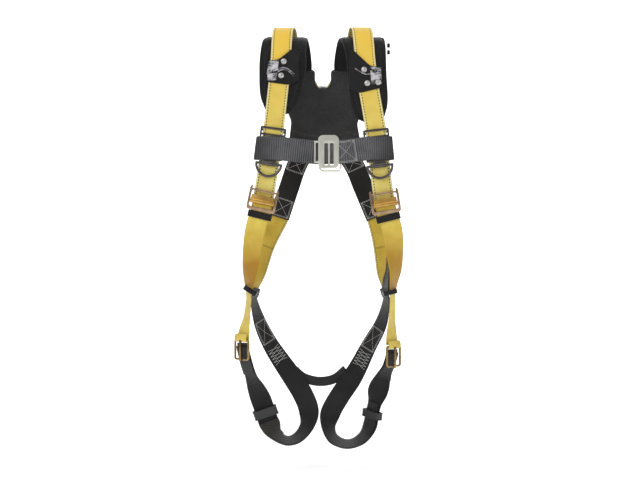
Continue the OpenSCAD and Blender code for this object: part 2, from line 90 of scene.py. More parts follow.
class Term:
    """One output of a material's nodes, which adds Math nodes when it is used in a sum."""

    def __init__(self, tree, socket):
        self.tree, self.socket = tree, socket

    def math(self, operation, *others):
        node = self.tree.nodes.new("ShaderNodeMath")
        node.operation = operation
        for socket, term in zip(node.inputs, (self, *others)):
            plug(self.tree, socket, term)
        return Term(self.tree, node.outputs[0])

    def __add__(self, other):
        return self.math("ADD", other)

    def __sub__(self, other):
        return self.math("SUBTRACT", other)

    def __rsub__(self, other):
        return self * -1 + other

    def __mul__(self, other):
        return self.math("MULTIPLY", other)

    def __truediv__(self, other):
        return self.math("DIVIDE", other)

    def __gt__(self, other):
        return self.math("GREATER_THAN", other)

    def __lt__(self, other):
        return self.math("LESS_THAN", other)

    def clamped(self):
        return self.math("MAXIMUM", 0.0).math("MINIMUM", 1.0)

    __radd__ = __add__
    __rmul__ = __mul__


def plug(tree, socket, term):
    """Links a term to a socket, or sets the socket to a plain value."""
    if isinstance(term, Term):
        tree.links.new(term.socket, socket)
    else:
        socket.default_value = term


class Finish:
    """A material: its shader, with fixed values set on it, and the nodes that vary it."""

    def __init__(self, name, fixed):
        self.material = bpy.data.materials.new(name)
        self.material.use_nodes = True
        self.tree = self.material.node_tree
        self.shader = self.tree.nodes["Principled BSDF"]
        for socket, value in fixed.items():
            self.shader.inputs[socket].default_value = value

    def node(self, kind, settings, inputs, output=0):
        node = self.tree.nodes.new("ShaderNode" + kind)
        for name, value in settings.items():
            setattr(node, name, value)
        for name, term in inputs.items():
            plug(self.tree, node.inputs[name], term)
        return Term(self.tree, node.outputs[output])

    def parts(self, vector):
        return [self.node("SeparateXYZ", {}, {0: vector}, axis) for axis in range(3)]

    def place(self):
        return self.node("TexCoord", {}, {}, "Object")

    def noise(self, scale, detail=2.0, stretch=(1, 1, 1)):
        spot = self.node("Mapping", {}, {"Vector": self.place(), "Scale": stretch})
        return self.node("TexNoise", {}, {"Vector": spot, "Scale": scale, "Detail": detail})

    def tint(self, share, first, second):
        return self.node("Mix", {"data_type": "RGBA"}, {0: share, 6: first, 7: second}, 2)

    def relief(self, height, depth):
        bump = self.node("Bump", {}, {"Distance": depth, "Height": height})
        plug(self.tree, self.shader.inputs["Normal"], bump)

    def vary(self, socket, term):
        plug(self.tree, self.shader.inputs[socket], term)


def rgb(red, green, blue):
    return (red, green, blue, 1.0)


paper = Finish("studio_paper", {"Roughness": 0.9, "Specular IOR Level": 0.1,
                                "Emission Strength": 0.8})
paper.vary("Base Color", paper.tint(paper.noise(3), rgb(0.93, 0.93, 0.93),
                                    rgb(0.95, 0.95, 0.95)))
glow_start = 1.0
glow_per_metre = 0.4
away = (paper.parts(paper.place())[1] - glow_start) * glow_per_metre
paper.vary("Emission Color", paper.tint(away.clamped(), rgb(0.36, 0.36, 0.36),
                                        rgb(0.95, 0.95, 0.95)))
sweep_radius = 0.9
wall_distance = 6.2
wall_height = 5.0
floor_half_width = 6.0
floor_front = -6.5
sweep = [(floor_front, 0.0)]
for angle in np.linspace(0, math.pi / 2, 25):
    sweep.append((wall_distance - sweep_radius + sweep_radius * math.sin(angle),
                  sweep_radius - sweep_radius * math.cos(angle)))
sweep.append((wall_distance, wall_height))
floor = plain_mesh(
    "studio_floor",
    [(x, y, floor_height + z) for y, z in sweep
     for x in (-floor_half_width, floor_half_width)],
    [(2 * i, 2 * i + 1, 2 * i + 3, 2 * i + 2) for i in range(len(sweep) - 1)])
floor.data.materials.append(paper.material)

camera = bpy.data.objects.new("camera", bpy.data.cameras.new("camera"))
bpy.context.scene.collection.objects.link(camera)
camera.location = (camera_aside, -viewing_distance, eye_height)
camera.rotation_euler = (math.pi / 2, 0, 0)
camera.data.sensor_width = 36.0
camera.data.lens = (camera.data.sensor_width * (viewing_distance - front_strap_depth)
                    / view_width)
bpy.context.scene.camera = camera


def light_panel(name, place, aim, size, power):
    lamp = bpy.data.objects.new(name, bpy.data.lights.new(name, "AREA"))
    lamp.data.shape = "RECTANGLE"
    lamp.data.size, lamp.data.size_y = size
    lamp.data.energy = power
    lamp.location = place
    lamp.rotation_euler = (Vector(aim) - Vector(place)).to_track_quat("-Z", "Y").to_euler()
    bpy.context.scene.collection.objects.link(lamp)


middle = (0, 0, eye_height)
light_panel("key_panel", (-1.7, -2.3, 1.3), middle, (1.0, 1.2), 27)
light_panel("fill_panel", (2.0, -2.2, 0.4), middle, (1.2, 1.6), 11)
light_panel("top_panel", (0, -0.2, 2.3), middle, (1.4, 1.2), 18)
light_panel("rear_panel", (0.6, 1.9, 1.9), middle, (2.0, 1.0), 20)
world = bpy.context.scene.world or bpy.data.worlds.new("world")
bpy.context.scene.world = world
world.use_nodes = True
sky = world.node_tree.nodes["Background"]
sky.inputs["Color"].default_value = rgb(1, 1, 1)
sky.inputs["Strength"].default_value = 0.42
bpy.context.scene.view_settings.view_transform = "Standard"

# --- Yellow shoulder straps ---------------------------------------------------------------
# Polyester webbing 45 mm wide and about 2 mm thick, with a black tracer thread woven near
# each selvedge. Each strap runs from under the dorsal plate, over the shoulder, to the waist.
web_width = 45 * mm
web_thickness = 2.0 * mm
row_step = 2.2 * mm


route_steps = 24


def through(route, per_span=route_steps):
    """Points and width directions on the smooth curve through a route's points. A point
    given as x, y and z alone has its width along x."""
    rows = np.array([(*p, 1, 0, 0) if len(p) == 3 else p for p in route], float)
    rows[:, :3] *= mm
    count = len(rows)
    line = []
    for i in range(count - 1):
        a, b, c, d = rows[max(i - 1, 0)], rows[i], rows[i + 1], rows[min(i + 2, count - 1)]
        for f in np.arange(per_span) / per_span:
            line.append(0.5 * (2 * b + (c - a) * f + (2 * a - 5 * b + 4 * c - d) * f ** 2
                               + (3 * b - a - 3 * c + d) * f ** 3))
    line.append(rows[-1])
    return np.array(line)


def unit(rows):
    return rows / np.linalg.norm(rows, axis=-1, keepdims=True)


def framed(line):
    """A line's points, its width directions made square to it, and its outward facings."""
    centre = line[:, :3]
    tangent = unit(np.gradient(centre, axis=0))
    way = line[:, 3:6]
    across = unit(way - (way * tangent).sum(1)[:, None] * tangent)
    return centre, across, np.cross(tangent, across)


def distances(path):
    """How far along a path each of its points lies."""
    return np.concatenate([[0], np.cumsum(np.linalg.norm(np.diff(path, axis=0), axis=1))])


def sampled(places, run, rows):
    """Rows read off at places along a run."""
    return np.stack([np.interp(places, run, column) for column in rows.T], -1)


def tube(count, sides, base=0, inward=False):
    """The faces of a closed tube of rings, with a cap at each end."""
    faces = []
    for i in range(count - 1):
        for k in range(sides):
            a, b = base + i * sides + k, base + i * sides + (k + 1) % sides
            faces.append((a, a + sides, b + sides, b) if inward else (a, b, b + sides, a + sides))
    first = tuple(range(base, base + sides))
    last = tuple(v + (count - 1) * sides for v in first)
    return faces + ([first, last[::-1]] if inward else [first[::-1], last])


class Strap:
    """A length of webbing laid along a route. A place on it is how far along, how far
    across from the middle, and how high above the middle of its thickness."""

    def __init__(self, route, width=web_width, slack=0.35 * mm, phase=0.0):
        self.rows = np.hstack(framed(through(route)))
        self.run = distances(self.rows[:, :3])
        self.at_point = self.run[::route_steps]
        self.width, self.slack, self.phase = width, slack, phase
        self.length = self.run[-1]

    def frames(self, along):
        return sampled(along, self.run, self.rows)

    def spot(self, along, across, lift):
        """The place in space, with the slight waviness of slack webbing."""
        f = self.frames(along)
        c = across / (self.width / 2)
        wave = self.slack * (np.sin(along / 0.031 + self.phase) * 0.6
                             + np.sin(along / 0.019 + 2.3 * self.phase) * 0.5 * c
                             + np.sin(along / 0.047 + 1.3 * self.phase + 1) * 0.7 * c * c)
        shape = f[..., :3] + f[..., 3:6] * np.asarray(across)[..., None]
        return shape + f[..., 6:9] * (np.asarray(lift) + wave)[..., None]

    def facing(self, along):
        return self.frames(along)[..., 6:9]


def webbing_mesh(name, strap, first=0.0, last=None, lift=0.0, width=None, ribs=0.0,
                 rib_pitch=3.2 * mm):
    """The closed mesh of a strap between two places along it, with soft selvedges."""
    columns = 17
    last = strap.length if last is None else last
    step = row_step if ribs == 0 else rib_pitch / 5
    along = np.linspace(first, last, max(3, int((last - first) / step)))
    c = np.linspace(-1, 1, columns)
    half = (width or strap.width) / 2
    swell = web_thickness / 2 * (0.35 + 0.65 * np.clip(1 - np.abs(c) ** 10, 0, 1))
    ring_c = np.concatenate([c, c[::-1]])
    ring_h = np.concatenate([swell, -swell[::-1]])
    rows = along[:, None] + 0 * ring_c[None]
    ridge = ribs * np.sin(2 * math.pi * rows / rib_pitch) * (ring_h > 0)[None]
    points = strap.spot(rows, ring_c[None] * half + 0 * rows, ring_h[None] + ridge + lift)
    sides = 2 * columns
    faces = tube(len(along), sides, inward=True)[:-2]
    for k in range(columns - 1):
        start = (k, k + 1, sides - 2 - k, sides - 1 - k)
        faces.append(start)
        faces.append(tuple((len(along) - 1) * sides + v for v in reversed(start)))
    piece = plain_mesh(name, points.reshape(-1, 3), faces)
    layer = piece.data.uv_layers.new(name="weave")
    uv = np.stack([np.broadcast_to(ring_c * half, rows.shape), rows], -1).reshape(-1, 2)
    corners = np.empty(len(piece.data.loops), int)
    piece.data.loops.foreach_get("vertex_index", corners)
    layer.data.foreach_set("uv", uv[corners].astype(np.float32).ravel())
    return piece


def webbing(name, bright, deep, rib=1.7, chevron=5.6, cord=0.95, tracer=None, sheen=0.25,
            rough=0.62, half=22.5, selvedge=None, height_tint=None, shine=0.4, contrast=0.24,
            slant=0.8, painted_shade_ends=None):
    """Woven polyester: slanted rows that turn at each chevron, and fine lengthwise cords.
    A tracer is its place across, dash and pitch in mm; a selvedge its place and colour.
    A tint by height comes in from its first height to its second, and stops at its third.
    Painted shade darkens the ends, between two distances from the middle of the harness."""
    cloth = Finish(name, {"Sheen Weight": sheen, "Sheen Roughness": 0.45,
                          "Specular IOR Level": shine})
    u, v, _ = cloth.parts(cloth.node("UVMap", {"uv_map": "weave"}, {}))
    across, along = u / mm, v / mm
    rows = ((along + across.math("PINGPONG", chevron) * slant) * (2 * math.pi / rib)).math("SINE")
    cords = (across * (2 * math.pi / cord)).math("SINE")
    fibre = cloth.noise(1400)
    cloud = cloth.noise(16, 4)
    stain = cloth.noise(48, 3)
    rim = across.math("ABSOLUTE") > half - 1.2
    tone = (rows * contrast + cords * 0.12 + (cloud - 0.5) * 1.3 + (stain - 0.5) * 0.7
            + (fibre - 0.5) * 0.6 + 0.60)
    colour = cloth.tint(tone.clamped(), deep, bright)
    # On the plain yellow webbing of the torso straps this tint by height is painted shade: darker
    # orange-brown where the straps turn away from the light at the hip.
    if height_tint:
        start, full, end, tint = height_tint
        height = cloth.parts(cloth.place())[2]
        rise = ((height - start) / (full - start)).clamped()
        share = rise * (cloud + 0.30) * ((height - end) * (start - end) > 0)
        colour = cloth.tint(share.math("MINIMUM", 0.9), colour, tint)
    # The darker ends are painted shade, where the chest strap turns round the chest slides.
    if painted_shade_ends:
        start, full = painted_shade_ends
        aside = cloth.parts(cloth.place())[0].math("ABSOLUTE")
        shade = ((aside - start) / (full - start)).clamped()
        colour = cloth.tint(shade * 0.8, colour, deep)
    if selvedge:
        colour = cloth.tint((across.math("ABSOLUTE") > selvedge[0]) * 0.65, colour,
                            selvedge[1])
    colour = cloth.tint(rim * 0.35, colour, deep)
    if tracer:
        offset, dash, pitch = tracer
        line = (across.math("ABSOLUTE") - offset).math("ABSOLUTE") < 1.2
        colour = cloth.tint(line * ((along / pitch).math("FRACT") < dash / pitch), colour,
                            rgb(0.012, 0.012, 0.012))
    cloth.vary("Base Color", colour)
    cloth.vary("Roughness", rough + rows * 0.06 + (fibre - 0.5) * 0.2)
    cloth.relief(rows * 0.55 + cords * 0.3 + fibre * 0.5, 0.22 * mm)
    return cloth.material


pale_selvedge = rgb(0.92, 0.86, 0.50)
yellow_traced = webbing("yellow_webbing_traced", rgb(0.90, 0.77, 0.22), rgb(0.56, 0.41, 0.06),
                        tracer=(17.6, 3.0, 6.2), selvedge=(18.4, pale_selvedge),
                        height_tint=(-0.16, 0.13, 1.0, rgb(0.90, 0.58, 0.045)))
body_of_node = {node: body for body, nodes in frame["record"]["behaviour"]["bodies"].items()
                for node in nodes}


def belongs(piece, material, nodes=(), body=None):
    """Gives a piece its material, hides the nodes it stands for and joins it to its body."""
    piece.data.materials.clear()
    piece.data.materials.append(material)
    if nodes:
        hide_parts(*nodes)
    if body is not None:
        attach(piece, body)
    return piece


right_shoulder_route = [
    (-4, -14.4, -28), (-20, -14.4, 2), (-46, -14.4, 51), (-68, -14.6, 94), (-77, -22, 128),
    (-82, -44, 152), (-86, -70, 156), (-89, -98, 144), (-91, -115, 114), (-92.5, -121, 80),
    (-97, -121, 31), (-107.5, -121, -63), (-112.8, -121, -103), (-118.1, -121, -143),
    (-123, -121, -176), (-127.5, -121, -205), (-131, -121, -222)]
left_shoulder_route = [
    (4, -17.2, -28), (20, -17.2, 2), (46, -17.2, 51), (67, -16.4, 94), (75, -22, 129),
    (80, -44, 153), (84, -70, 157), (87, -98, 145), (90, -115, 114), (92.5, -121, 80),
    (101, -121, 15), (115, -121, -67), (119.5, -121, -107), (124, -121, -147),
    (127.5, -121, -178), (131, -121, -205), (134, -121, -226)]
for side, route, phase in (("right", right_shoulder_route, 0.4),
                           ("left", left_shoulder_route, 2.1)):
    belongs(webbing_mesh(side + "_shoulder_webbing", Strap(route, phase=phase)), yellow_traced,
            [side + "_shoulder_strap"], "harness")

# --- Black back straps --------------------------------------------------------------------
# The same webbing in black carries on below the dorsal plate. Each strap is sewn at both ends
# with a box and a cross in light grey bonded thread.
black_webbing = webbing("black_webbing", rgb(0.017, 0.016, 0.017), rgb(0.004, 0.004, 0.004),
                        sheen=0.06, rough=0.40, shine=0.22)
left_back_route = [
    (-2, -14.4, -31.5), (18, -14.4, -66), (45, -14.4, -108), (72, -15, -150), (90, -20, -194),
    (119, -31, -264)]
right_back_route = [
    (2, -17.2, -31.5), (-16, -17.2, -66), (-38, -17.2, -108), (-60, -17, -150), (-75, -20, -194),
    (-98, -30, -264)]
stitch_length = 4.2 * mm
stitch_gap = 0.9 * mm


def thread_finish(name, bright, deep):
    """Twisted bonded thread."""
    thread = Finish(name, {"Sheen Weight": 0.2, "Specular IOR Level": 0.5})
    spin = (thread.parts(thread.place())[2] * (2 * math.pi / (0.8 * mm))).math("SINE")
    thread.vary("Base Color", thread.tint(spin * 0.25 + thread.noise(300), deep, bright))
    thread.vary("Roughness", 0.5 + spin * 0.1)
    return thread.material


grey_thread = thread_finish("grey_thread", rgb(0.62, 0.62, 0.60), rgb(0.30, 0.30, 0.30))
charcoal_thread = thread_finish("charcoal_thread", rgb(0.10, 0.10, 0.10), rgb(0.04, 0.04, 0.04))
black_thread = thread_finish("black_thread", rgb(0.035, 0.035, 0.035), rgb(0.012, 0.012, 0.012))


def sewn(name, stitches, material, body, radius=0.5 * mm):
    """One mesh of little arched stitches, each from a point to a point, on a facing."""
    rings = 5
    sides = 6
    points, faces = [], []
    for start, end, facing in stitches:
        start, end, facing = np.array(start), np.array(end), np.array(facing)
        run = end - start
        side = unit(np.cross(facing, run))
        base = len(points)
        for i in range(rings):
            f = i / (rings - 1)
            arch = math.sin(math.pi * f)
            girth = radius * (0.45 + 0.55 * arch)
            middle_of_ring = start + run * f + facing * radius * (1.2 * arch - 0.5)
            for k in range(sides):
                angle = 2 * math.pi * k / sides
                points.append(middle_of_ring + side * girth * math.cos(angle)
                              + facing * girth * math.sin(angle))
        faces += tube(rings, sides, base)
    return belongs(plain_mesh(name, points, faces), material, (), body)


def stitch_path(strap, corners, lift):
    """Stitches on a strap's face along straight runs between corners (along, across)."""
    stitches = []
    for (a0, c0), (a1, c1) in zip(corners, corners[1:]):
        length = math.hypot(a1 - a0, c1 - c0)
        count = max(1, round(length / (stitch_length + stitch_gap)))
        for i in range(count):
            f = (i + np.array([0.03, 0.97])) / count
            along = a0 + (a1 - a0) * f
            ends = strap.spot(along, c0 + (c1 - c0) * f, np.full(2, lift))
            stitches.append((ends[0], ends[1], strap.facing(along[0])))
    return stitches


def box_and_cross(strap, first, last, half, lift):
    """A sewn box between two places along a strap, with both of its diagonals."""
    box = [(first, -half), (last, -half), (last, half), (first, half), (first, -half)]
    inner = [(a + (1.6 * mm if a == first else -1.6 * mm), c * 0.9) for a, c in box]
    return [stitch for corners in (box, inner, (box[0], box[2]), (box[3], box[1]))
            for stitch in stitch_path(strap, corners, lift)]


face = web_thickness / 2
for side, route, phase in (("right", right_back_route, 1.1), ("left", left_back_route, 3.0)):
    strap = Strap(route, phase=phase)
    belongs(webbing_mesh(side + "_back_webbing", strap), black_webbing,
            [side + "_back_strap"], "harness")
    seams = (box_and_cross(strap, strap.length - 43 * mm, strap.length - 3 * mm, 19 * mm, face)
             + box_and_cross(strap, 112 * mm, 146 * mm, 19 * mm, face))
    sewn(side + "_back_seams", seams, grey_thread, "harness")

# --- Yellow hip straps --------------------------------------------------------------------
# Yellow webbing sewn behind the end of each black back strap and led forward to the hip. Its
# edges carry a fine dotted line of stitching.
# Its darker orange-brown tint low on the torso straps, towards the hip, is painted shade where
# the straps turn away from the light.
yellow_plain = webbing("yellow_webbing_plain", rgb(0.92, 0.74, 0.15), rgb(0.56, 0.37, 0.03),
                       sheen=0.08, rough=0.45, shine=0.25,
                       height_tint=(-0.27, -0.37, -0.428, rgb(0.40, 0.17, 0.002)))
yellow_dotted = webbing("yellow_webbing_dotted", rgb(0.74, 0.54, 0.07), rgb(0.40, 0.25, 0.012),
                        tracer=(18.8, 1.8, 3.8), selvedge=(19.4, pale_selvedge))
right_hip_route = [
    (-86, -20, -222), (-99, -26, -264), (-116, -34, -297, 1, 0.1, 0),
    (-131, -44, -330, 1, 0.2, 0), (-146, -57, -380, 0.9, 0.4, 0),
    (-153, -63.5, -416, 0.45, 0.9, 0), (-155, -65, -436, 0.3, 0.95, 0)]
left_hip_route = [
    (103, -21.5, -222), (120, -27, -264), (129, -34, -297, 1, -0.1, 0),
    (135, -44, -330, 1, -0.2, 0), (140, -57, -380, 0.9, -0.4, 0), (142, -65, -416, 0.45, -0.9, 0),
    (142, -67, -436, 0.3, -0.95, 0)]
for side, route, phase in (("right", right_hip_route, 1.9), ("left", left_hip_route, 0.2)):
    strap = Strap(route, phase=phase)
    belongs(webbing_mesh(side + "_hip_webbing", strap), yellow_dotted,
            [side + "_hip_strap"], "harness")
    row = strap.at_point[2] + 34 * mm
    bar = [(row, -20 * mm), (row, 20 * mm), (row + 2 * mm, 20 * mm), (row + 2 * mm, -20 * mm)]
    sewn(side + "_hip_bar_seam", stitch_path(strap, bar, face), black_thread,
         "harness", 0.4 * mm)

# --- Yellow torso straps and leg risers ---------------------------------------------------
# One length of plain yellow webbing a side: from the torso buckle round the front of the hip,
# turning edge-on through the hip band, and down to the leg buckle. It bends at the hip.
right_torso_route = [
    (-132, -121, -228), (-137, -121, -254), (-147, -118, -286), (-155, -112, -330, 0.9, -0.35, 0),
    (-161, -103, -376, 0.75, -0.65, 0), (-163, -95.5, -410, 0.5, -0.85, 0),
    (-164, -92, -436, 0.3, -0.95, 0)]
right_riser_route = [
    (-164, -92, -450, 0.3, -0.95, 0), (-168, -94, -484, 0.35, -0.94, 0),
    (-173, -97, -508, 0.5, -0.87, 0), (-175.5, -100.5, -525, 0.6, -0.8, 0)]
left_torso_route = [
    (135, -121, -232), (141, -121, -258), (151, -118, -290), (157, -112, -336, 0.85, 0.45, 0),
    (160, -103, -380, 0.6, 0.78, 0), (156, -95, -412, 0.4, 0.9, 0),
    (154, -91, -436, 0.3, 0.95, 0)]
left_riser_route = [
    (154, -91, -450, 0.3, 0.95, 0), (153, -94, -490, 0.35, 0.94, 0),
    (152, -98, -518, 0.5, 0.87, 0), (152, -100.5, -540, 0.6, 0.8, 0)]
leg_buckles = {"right": (-175.5, -100, -556, -53), "left": (152, -100, -571, 53)}
buckle_bar = (-4.2, 21.5)
turn_radius = 3.7


def round_buckle_bar(side):
    """Route points that take a riser behind, under and up in front of its buckle's top bar."""
    x, y, z, turn = leg_buckles[side]
    c, s = math.cos(math.radians(turn)), math.sin(math.radians(turn))
    wraps = [(turn_radius, 3), (0.75 * turn_radius, -2.7), (0, -turn_radius),
             (-0.75 * turn_radius, -2.7), (-turn_radius, 0), (-turn_radius, 5), (-1.2, 13)]
    facing = 1 if turn < 0 else -1
    return [(x - (buckle_bar[0] + back) * s, y + (buckle_bar[0] + back) * c,
             z + buckle_bar[1] + up, facing * c, facing * s, 0) for back, up in wraps]


for side, route, phase in (("right", right_torso_route + right_riser_route, 0.9),
                           ("left", left_torso_route + left_riser_route, 2.7)):
    strap = Strap(route + round_buckle_bar(side), slack=0.3 * mm, phase=phase)
    piece = webbing_mesh(side + "_torso_webbing", strap)
    belongs(piece, yellow_plain,
            [side + "_torso_strap", side + "_leg_riser"])
    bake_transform(piece)

# --- Black leg loops ----------------------------------------------------------------------
# Black webbing from the hip band down the inside of the thigh, round under it and up the
# outside to the leg buckle, where its end is doubled back. Grey box, cross and zigzag seams.
right_leg_route = [
    (-154, -66, -450, 0.3, 0.95, 0.1), (-141, -59, -496, 0.5, 0.8, 0.3),
    (-119, -53, -543, 0.65, 0.68, 0.38), (-95, -49, -582, 0.78, 0.5, 0.45),
    (-69, -48, -620, 0.85, 0.25, 0.5), (-46, -51, -657, 0.9, 0, 0.45),
    (-32, -57, -692, 0.97, -0.15, 0.2), (-34, -64, -724, 0.66, -0.7, -0.25),
    (-53, -70, -751, 0.26, -0.85, -0.42), (-77, -74, -760, 0, -0.93, -0.37),
    (-101, -79, -748, -0.25, -0.85, -0.42), (-118, -84, -722, -0.85, -0.25, -0.42),
    (-127, -88, -696, -0.94, 0, -0.33), (-136, -92, -670, -0.94, 0, -0.33),
    (-147, -95, -643, -0.85, 0.45, -0.3), (-158, -98, -616, -0.6, 0.78, -0.15),
    (-168, -100, -584, -0.6, 0.8, 0), (-175, -100, -556, -0.6, 0.8, 0),
    (-176, -100, -548, -0.6, 0.8, 0)]
left_leg_route = [
    (141, -66, -450, 0.3, -0.95, -0.1), (129, -59, -500, 0.5, -0.8, -0.3),
    (102, -53, -552, 0.65, -0.68, -0.38), (82, -49, -593, 0.78, -0.5, -0.45),
    (63, -48, -626, 0.85, -0.25, -0.5), (38, -51, -662, 0.9, 0, -0.45),
    (18, -57, -697, 0.93, 0.15, -0.2), (12, -64, -726, 0.66, 0.7, 0.25),
    (20, -69, -752, 0.3, 0.85, 0.42), (40, -73, -765, 0.1, 0.9, 0.37),
    (63, -77, -766, 0, 0.93, 0.37), (88, -81, -752, -0.25, 0.85, 0.42),
    (103, -85, -727, -0.6, 0.75, 0.25), (109, -88, -700, -0.62, 0.75, 0.2),
    (115, -91, -673, -0.62, 0.75, 0.2), (123, -94, -643, -0.9, 0, 0.25),
    (134, -97, -612, -0.7, -0.7, 0.15), (144, -100, -592, -0.6, -0.8, 0),
    (151, -100, -570, -0.6, -0.8, 0), (152, -100, -562, -0.6, -0.8, 0)]
right_leg_head = [(-149.5, -63, -421, 0.4, 0.9, 0.05), (-151, -64.5, -436, 0.3, 0.95, 0.08)]
left_leg_head = [(136.5, -63, -421, 0.4, -0.9, -0.05), (138, -64.5, -436, 0.3, -0.95, -0.08)]
right_leg_tip = [(-176.4, -100, -541, -0.6, 0.8, 0)]
left_leg_tip = [(152.4, -100, -555.5, -0.6, -0.8, 0)]


def zigzag_seam(strap, first, last, half, lift, strokes):
    """Two crossing rows of zigzag whose long strokes run from edge to edge of a strap."""
    stitches = []
    for flip in (1, -1):
        edge = [(first + (last - first) * i / strokes, half * flip * (1 if i % 2 else -1))
                for i in range(strokes + 1)]
        stitches += stitch_path(strap, edge, lift)
    return stitches


pale_thread = thread_finish("pale_thread", rgb(0.66, 0.66, 0.66), rgb(0.42, 0.42, 0.42))
leg_straps = {}
for side, route, head, tip, box_at, zigzag_at, phase in (
        ("right", right_leg_route, right_leg_head, right_leg_tip, 78 * mm, 145 * mm, 0.6),
        ("left", left_leg_route, left_leg_head, left_leg_tip, 96 * mm, 155 * mm, 1.8)):
    strap = leg_straps[side] = Strap(head + route + tip, slack=0.6 * mm, phase=phase)
    piece = webbing_mesh(side + "_leg_webbing", strap)
    belongs(piece, black_webbing, [side + "_leg_strap"])
    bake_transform(piece)
    sewn(side + "_leg_box_seam", box_and_cross(strap, box_at, box_at + 52 * mm, 19 * mm, face),
         grey_thread, "legs")
    sewn(side + "_leg_zigzag_seam", zigzag_seam(strap, zigzag_at, zigzag_at + 36 * mm,
                                                17.5 * mm, face, 5),
         pale_thread, "legs", 0.6 * mm)
    last = strap.length - 8 * mm
    doubled = webbing_mesh(side + "_leg_strap_end", strap, last - 62 * mm, last,
                           lift=web_thickness + 0.25 * mm)
    belongs(doubled, black_webbing, (), "legs")

hip_end_route = [(145, -94, -350, 0.14, -0.99, 0), (144, -91, -375, 0.14, -0.99, 0),
                 (142, -83, -398, 0.18, -0.98, 0), (139.5, -71, -419, 0.28, -0.96, 0.03),
                 (138, -64.5, -436, 0.3, -0.95, 0.08)]
belongs(webbing_mesh("left_leg_webbing_end", Strap(hip_end_route, slack=0.8 * mm)),
        black_webbing, (), "harness")

# --- Elastic band and loose end on the leg loops ------------------------------------------
# A ribbed elastic band is slipped over the right loop below its keeper. On the left loop the
# strap's own loose end lies on top of it, through the keeper.
def elastic_cloth(name, bright, deep, pitch):
    """Knitted elastic: raised ribs across the band, with fine threads between them."""
    cloth = Finish(name, {"Sheen Weight": 0.2, "Specular IOR Level": 0.3})
    x, y, z = cloth.parts(cloth.place())
    knit = ((x + y) * (2 * math.pi / (0.9 * mm))).math("SINE")
    ribs = (z * (2 * math.pi / pitch)).math("SINE")
    fuzz = cloth.noise(900)
    cloth.vary("Base Color", cloth.tint(ribs * 0.3 + knit * 0.1 + fuzz, deep, bright))
    cloth.vary("Roughness", 0.75 + fuzz * 0.15)
    cloth.relief(ribs * 0.8 + knit * 0.3 + fuzz * 0.4, 0.3 * mm)
    return cloth.material


black_elastic = elastic_cloth("black_elastic", rgb(0.014, 0.014, 0.014),
                              rgb(0.003, 0.003, 0.003), 2.4 * mm)
brown_elastic = elastic_cloth("worn_elastic", rgb(0.050, 0.045, 0.036),
                              rgb(0.010, 0.009, 0.007), 3.6 * mm)
head_points = 2
for side, name, node, cloth, slot, first, last, width, ribs in (
        ("right", "right_leg_elastic_band", "right_leg_elastic", brown_elastic, "elastic",
         9.5, 11.25, 46 * mm, 0.35 * mm),
        ("left", "left_leg_loose_end", "left_leg_tail", black_webbing, "black_webbing",
         11.5, 14, 38 * mm, 0.0)):
    strap = leg_straps[side]
    first, last = np.interp([first + head_points, last + head_points],
                            range(len(strap.at_point)), strap.at_point)
    layer = webbing_mesh(name, strap, first, last, web_thickness + 0.6 * mm, width, ribs)
    belongs(layer, cloth, [node], "legs")

# --- Sub-pelvic strap ---------------------------------------------------------------------
# A narrow black strap sewn behind the two leg loops, which keeps them from spreading.
sub_pelvic_route = [
    (-62, -35, -606, -0.4, 0, 1), (-42, -39.4, -623, -0.3, 0, 1), (-8, -42, -631, 0, 0, 1),
    (26, -40, -625, 0.3, 0, 1), (52, -38, -604, 0.6, 0, 1)]
strap = Strap(sub_pelvic_route, width=21 * mm, phase=1.2)
narrow_black = webbing("narrow_black_webbing", rgb(0.030, 0.030, 0.032),
                       rgb(0.007, 0.007, 0.008), chevron=3.5, half=10.5, sheen=0.10, rough=0.45,
                       shine=0.25)
belongs(webbing_mesh("sub_pelvic_webbing", strap), narrow_black,
        ["sub_pelvic_strap"], "legs")

# --- Chest strap --------------------------------------------------------------------------
# Two lengths of broad grey-black ribbed webbing. Each goes round the outer rail of a chest
# slide. The right one ends behind the buckle ring, and the left one is sewn to the plate.
rib_spacing = 4.8 * mm
# Its ends darken towards the chest slides with painted shade.
ribbed_grey = webbing("ribbed_grey_webbing", rgb(0.122, 0.122, 0.130),
                      rgb(0.007, 0.007, 0.008), rib=rib_spacing / mm, chevron=400.0, cord=1.3,
                      half=26, sheen=0.12, rough=0.38, contrast=0.42, slant=0.0,
                      painted_shade_ends=(0.095, 0.15))
right_chest_route = [
    (6, -127.2, -123, 0, 0, 1), (-22, -127.2, -122, 0, 0, 1), (-60, -127.2, -118, 0, 0, 1),
    (-100, -127.2, -114, 0.05, 0, 1), (-138, -127.2, -113, 0.13, 0, 1),
    (-145, -126.2, -113, 0.13, 0, 1), (-148.6, -121, -113, 0.13, 0, 1),
    (-145, -115.8, -113, 0.13, 0, 1), (-138, -114.6, -113, 0.13, 0, 1),
    (-104, -114.6, -113, 0.13, 0, 1)]
left_chest_route = [
    (1, -135.4, -123, 0, 0, 1), (44, -135.4, -122, 0, 0, 1), (58, -131, -120, 0, 0, 1),
    (70, -127.6, -118, 0, 0, 1), (100, -127.2, -114, -0.04, 0, 1),
    (143, -127.2, -113, -0.11, 0, 1), (150, -126.2, -113, -0.11, 0, 1),
    (153.6, -121, -113, -0.11, 0, 1), (150, -115.8, -113, -0.11, 0, 1),
    (143, -114.6, -113, -0.11, 0, 1), (110, -114.6, -113, -0.11, 0, 1)]
chest_width = 52 * mm
for side, route, phase in (("right", right_chest_route, 0.7), ("left", left_chest_route, 2.9)):
    strap = Strap(route, width=chest_width, slack=0.2 * mm, phase=phase)
    belongs(webbing_mesh(side + "_chest_webbing", strap, ribs=0.32 * mm,
                         rib_pitch=rib_spacing),
            ribbed_grey, [side + "_chest_strap"], "chest")
    if side == "left":
        seam = box_and_cross(strap, 26 * mm, 72 * mm, 23 * mm, face + 0.28 * mm)
        sewn("left_chest_seam", seam, grey_thread, "chest")

